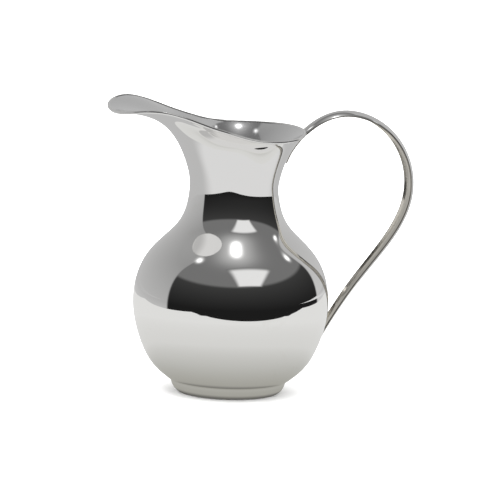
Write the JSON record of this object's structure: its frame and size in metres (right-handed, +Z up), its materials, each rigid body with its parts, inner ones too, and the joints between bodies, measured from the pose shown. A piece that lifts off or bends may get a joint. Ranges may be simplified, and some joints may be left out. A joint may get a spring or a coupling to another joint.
{
  "type": "water pitcher",
  "caption": "Polished silver water pitcher: round baluster body on a low foot ring, flared mouth drawn into a broad spout, and a looped strap handle.",
  "frame": {"origin": "centre of the foot ring's rest plane on the table", "axes": "+Z up, -X towards the spout, +X towards the handle, plane y = 0 is the plane of symmetry"},
  "size_m": [0.2401, 0.1474, 0.2206],
  "materials": {
    "polished_silver": "mirror polished",
    "polished_silver_neck": "mirror polished outside, satin inside",
    "polished_silver_wire": "mirror polished",
    "polished_silver_foot": "mirror polished",
    "polished_silver_handle": "mirror polished",
    "silver_solder": "satin"
  },
  "bodies": {
    "root": {"bowl_shell": "polished_silver", "girth_seam_solder": "silver_solder", "neck_shell": "polished_silver_neck", "rim_wire": "polished_silver_wire", "foot_ring": "polished_silver_foot", "foot_seam_solder": "silver_solder", "handle_strap": "polished_silver_handle", "handle_top_solder": "silver_solder", "handle_lower_solder": "silver_solder"}
  },
  "joints": []
}
